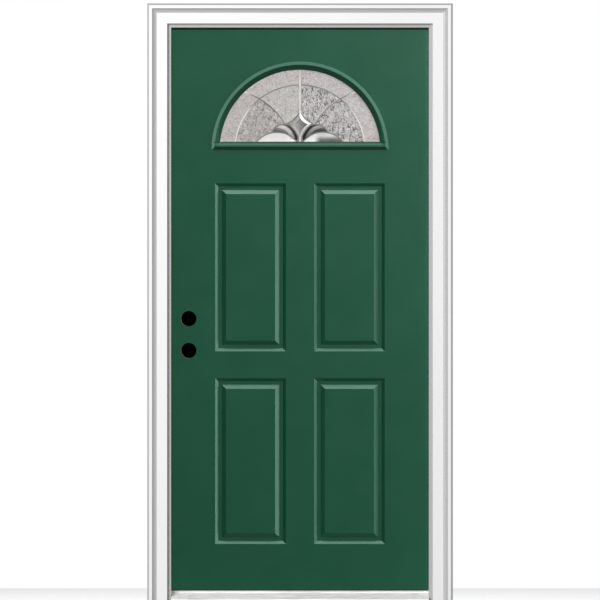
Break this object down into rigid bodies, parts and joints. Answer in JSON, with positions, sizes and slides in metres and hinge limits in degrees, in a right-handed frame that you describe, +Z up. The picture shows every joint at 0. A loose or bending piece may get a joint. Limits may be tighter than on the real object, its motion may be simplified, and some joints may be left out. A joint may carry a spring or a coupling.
{
  "type": "panelled front door",
  "caption": "Green panelled steel entry door with a half-round leaded lite and open lock bores, hinged in a white frame with brick mould, seals and a metal sill.",
  "frame": {"origin": "underside of the sill, on the doorway's centreline, in the plane of the wall's outer face", "axes": "+X to the right as seen from the street, +Y from the street into the room, +Z up"},
  "size_m": [1.07, 0.1608, 2.0985],
  "materials": {
    "white_paint": "satin",
    "green_paint": "satin",
    "green_plastic": "satin",
    "raw_wood": "matte",
    "foam": "matte",
    "sill_metal": "satin",
    "hinge_metal": "satin",
    "screw_metal": "satin",
    "seal_rubber": "matte",
    "clear_glass": "gloss",
    "textured_glass": "gloss",
    "bevel_glass": "gloss",
    "came_metal": "satin",
    "spacer_metal": "matte"
  },
  "bodies": {
    "frame": {"hinge_jamb": "white_paint", "lock_jamb": "white_paint", "head_jamb": "white_paint", "left_brick_mould": "white_paint", "right_brick_mould": "white_paint", "head_brick_mould": "white_paint", "hinge_side_seal": "seal_rubber", "lock_side_seal": "seal_rubber", "head_seal": "seal_rubber", "corner_pads": "seal_rubber", "sill_base": "raw_wood", "sill_deck": "sill_metal", "sill_cap": "sill_metal", "sill_cap_risers": "screw_metal", "frame_corner_screws": "screw_metal", "sill_end_screws": "screw_metal", "top_hinge_frame_leaf": "hinge_metal", "middle_hinge_frame_leaf": "hinge_metal", "bottom_hinge_frame_leaf": "hinge_metal", "top_hinge_pin": "hinge_metal", "middle_hinge_pin": "hinge_metal", "bottom_hinge_pin": "hinge_metal", "frame_hinge_screws": "hinge_metal"},
    "door": {"top_hinge_door_leaf": "hinge_metal", "middle_hinge_door_leaf": "hinge_metal", "bottom_hinge_door_leaf": "hinge_metal", "door_hinge_screws": "hinge_metal", "outer_skin": "green_paint", "inner_skin": "green_paint", "foam_core": "foam", "hinge_stile": "raw_wood", "lock_stile": "raw_wood", "top_rail": "raw_wood", "bottom_rail": "raw_wood", "lock_block": "raw_wood", "bottom_sweep": "seal_rubber", "outer_lite_frame": "green_plastic", "inner_lite_frame": "green_plastic", "outer_glazing_tape": "seal_rubber", "inner_glazing_tape": "seal_rubber", "lite_screws": "screw_metal", "lite_screw_plugs": "green_plastic", "outer_pane": "clear_glass", "inner_pane": "clear_glass", "outer_spacer": "spacer_metal", "inner_spacer": "spacer_metal", "caming": "came_metal", "star_bevel": "bevel_glass", "left_bud_bevel": "bevel_glass", "right_bud_bevel": "bevel_glass", "left_leaf_bevel": "bevel_glass", "right_leaf_bevel": "bevel_glass", "left_band_glass": "textured_glass", "upper_left_band_glass": "textured_glass", "upper_right_band_glass": "textured_glass", "right_band_glass": "textured_glass", "left_fan_glass": "textured_glass", "upper_left_fan_glass": "textured_glass", "upper_right_fan_glass": "textured_glass", "right_fan_glass": "textured_glass"}
  },
  "joints": [
    {"name": "door_swing", "type": "hinge", "parent": "frame", "child": "door", "pos_m": [0.4625, 0.1228, 1], "axis": [0, 0, -1], "range_deg": [0, 180]}
  ]
}
